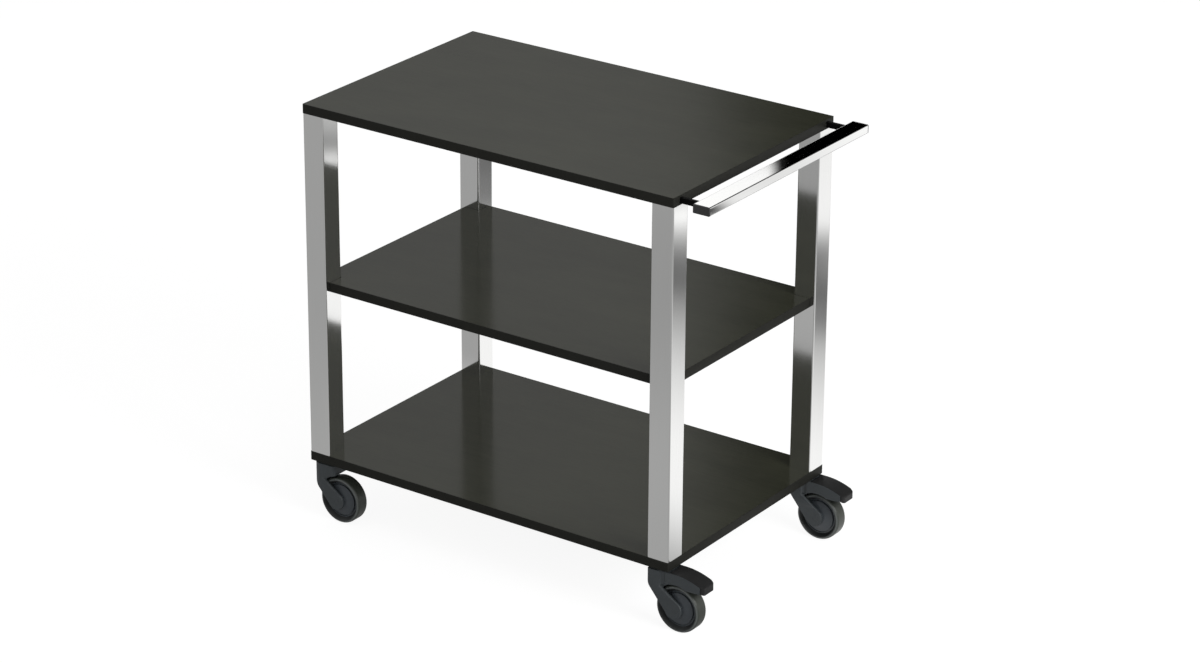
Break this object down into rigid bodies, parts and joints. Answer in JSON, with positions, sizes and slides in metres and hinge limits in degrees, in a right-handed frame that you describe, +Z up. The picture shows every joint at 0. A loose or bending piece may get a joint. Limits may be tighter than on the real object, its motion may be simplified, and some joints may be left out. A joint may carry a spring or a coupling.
{
  "type": "service cart",
  "caption": "Service cart with open shelves between square polished tube legs, a bar handle at one end and swivel casters, with brake pedals at the handle end.",
  "frame": {"origin": "on the floor, under the middle of the footprint of shelves and handle together", "axes": "+X towards the handle end, +Y towards the rear, +Z up"},
  "size_m": [0.981, 0.57, 0.916],
  "materials": {
    "shelf_laminate": "dark grey laminate, fine grain, satin",
    "polished_steel": "mirror polished",
    "plain_steel": "zinc plated",
    "black_steel": "blackened or powder coated",
    "plug_plastic": "black moulded plastic",
    "cap_plastic": "dark grey moulded plastic",
    "fork_plastic": "blue-grey moulded plastic, satin",
    "pedal_plastic": "dark grey moulded plastic, matt",
    "wheel_plastic": "blue-grey moulded plastic",
    "tyre_rubber": "grey non-marking rubber",
    "shoe_rubber": "black rubber",
    "bush_plastic": "natural bearing plastic"
  },
  "bodies": {
    "frame": {"top_shelf": "shelf_laminate", "middle_shelf": "shelf_laminate", "bottom_shelf": "shelf_laminate", "leg_top_plugs": "plug_plastic", "leg_foot_plugs": "plug_plastic", "top_shelf_studs": "plain_steel", "shelf_brackets": "black_steel", "bracket_screws": "plain_steel", "caster_stems": "plain_steel", "stem_nuts": "plain_steel", "swivel_rings": "plain_steel", "handle_bar": "polished_steel", "handle_end_caps": "cap_plastic", "handle_studs": "plain_steel", "handle_inserts": "plain_steel", "handle_nut_blocks": "plain_steel", "handle_arm_front": "black_steel", "handle_arm_rear": "black_steel", "leg_front_left": "polished_steel", "leg_front_right": "polished_steel", "leg_rear_left": "polished_steel", "leg_rear_right": "polished_steel"},
    "caster_front_left": {"fork_front_left": "fork_plastic", "axle_front_left": "black_steel", "axle_nut_front_left": "black_steel"},
    "wheel_front_left": {"wheel_disc_front_left": "wheel_plastic", "tyre_front_left": "tyre_rubber", "wheel_bushes_front_left": "bush_plastic"},
    "caster_front_right": {"fork_front_right": "fork_plastic", "axle_front_right": "black_steel", "axle_nut_front_right": "black_steel", "pedal_pin_front_right": "black_steel", "brake_leaf_front_right": "black_steel"},
    "wheel_front_right": {"wheel_disc_front_right": "wheel_plastic", "tyre_front_right": "tyre_rubber", "wheel_bushes_front_right": "bush_plastic"},
    "pedal_front_right": {"brake_pedal_front_right": "pedal_plastic", "brake_shoe_front_right": "shoe_rubber"},
    "caster_rear_left": {"fork_rear_left": "fork_plastic", "axle_rear_left": "black_steel", "axle_nut_rear_left": "black_steel"},
    "wheel_rear_left": {"wheel_disc_rear_left": "wheel_plastic", "tyre_rear_left": "tyre_rubber", "wheel_bushes_rear_left": "bush_plastic"},
    "caster_rear_right": {"fork_rear_right": "fork_plastic", "axle_rear_right": "black_steel", "axle_nut_rear_right": "black_steel", "pedal_pin_rear_right": "black_steel", "brake_leaf_rear_right": "black_steel"},
    "wheel_rear_right": {"wheel_disc_rear_right": "wheel_plastic", "tyre_rear_right": "tyre_rubber", "wheel_bushes_rear_right": "bush_plastic"},
    "pedal_rear_right": {"brake_pedal_rear_right": "pedal_plastic", "brake_shoe_rear_right": "shoe_rubber"}
  },
  "joints": [
    {"name": "swivel_front_left", "type": "hinge", "parent": "frame", "child": "caster_front_left", "pos_m": [-0.465, -0.2595, 0.131], "axis": [0, 0, 1], "continuous": true},
    {"name": "roll_front_left", "type": "hinge", "parent": "caster_front_left", "child": "wheel_front_left", "pos_m": [-0.4235, -0.2595, 0.05], "axis": [0, 1, 0], "continuous": true},
    {"name": "swivel_front_right", "type": "hinge", "parent": "frame", "child": "caster_front_right", "pos_m": [0.384, -0.2595, 0.131], "axis": [0, 0, 1], "continuous": true},
    {"name": "roll_front_right", "type": "hinge", "parent": "caster_front_right", "child": "wheel_front_right", "pos_m": [0.4255, -0.2595, 0.05], "axis": [0, 1, 0], "continuous": true},
    {"name": "brake_front_right", "type": "hinge", "parent": "caster_front_right", "child": "pedal_front_right", "pos_m": [0.418, -0.2595, 0.117], "axis": [0, 1, 0], "range_deg": [0, 9]},
    {"name": "swivel_rear_left", "type": "hinge", "parent": "frame", "child": "caster_rear_left", "pos_m": [-0.465, 0.2595, 0.131], "axis": [0, 0, 1], "continuous": true},
    {"name": "roll_rear_left", "type": "hinge", "parent": "caster_rear_left", "child": "wheel_rear_left", "pos_m": [-0.4235, 0.2595, 0.05], "axis": [0, 1, 0], "continuous": true},
    {"name": "swivel_rear_right", "type": "hinge", "parent": "frame", "child": "caster_rear_right", "pos_m": [0.384, 0.2595, 0.131], "axis": [0, 0, 1], "continuous": true},
    {"name": "roll_rear_right", "type": "hinge", "parent": "caster_rear_right", "child": "wheel_rear_right", "pos_m": [0.4255, 0.2595, 0.05], "axis": [0, 1, 0], "continuous": true},
    {"name": "brake_rear_right", "type": "hinge", "parent": "caster_rear_right", "child": "pedal_rear_right", "pos_m": [0.418, 0.2595, 0.117], "axis": [0, 1, 0], "range_deg": [0, 9]}
  ]
}
